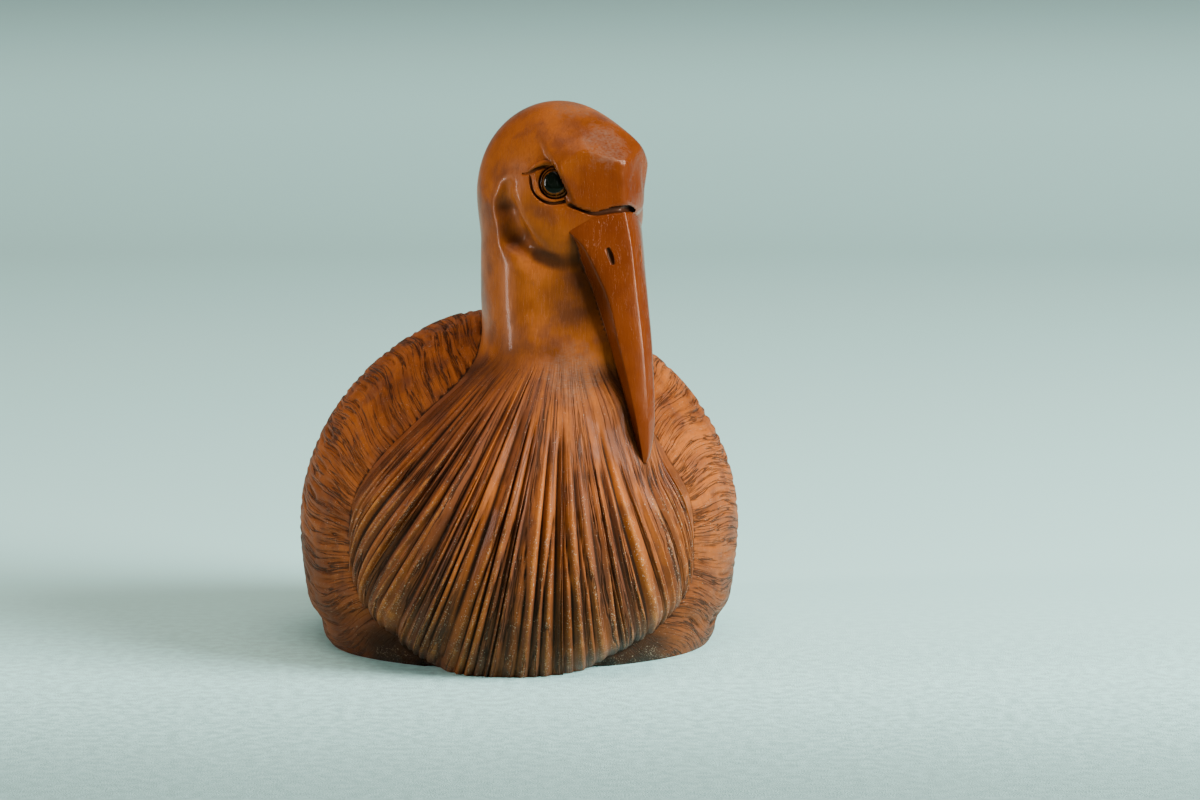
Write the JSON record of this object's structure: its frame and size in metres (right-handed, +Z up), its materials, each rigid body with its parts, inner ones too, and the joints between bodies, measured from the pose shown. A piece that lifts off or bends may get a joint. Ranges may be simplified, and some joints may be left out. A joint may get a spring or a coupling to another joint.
{
  "type": "netsuke",
  "caption": "Boxwood netsuke carved as a seated ibis, its long curved bill laid on its fluted breast, with inlaid horn eyes and a cord tunnel through the belly.",
  "frame": {"origin": "middle of the flat underside that the carving stands on", "axes": "+Z up through the crown, -Y the way the breast faces, +X to the bird's left"},
  "size_m": [0.036, 0.0418, 0.045],
  "materials": {
    "boxwood": "stained brown, hand polished, darker in the cuts",
    "dark_horn": "polished translucent brown horn",
    "black_horn": "polished black horn"
  },
  "bodies": {
    "root": {"ibis": "boxwood", "right_eye_iris": "dark_horn", "left_eye_iris": "dark_horn", "right_eye_pupil": "black_horn", "left_eye_pupil": "black_horn"}
  },
  "joints": []
}
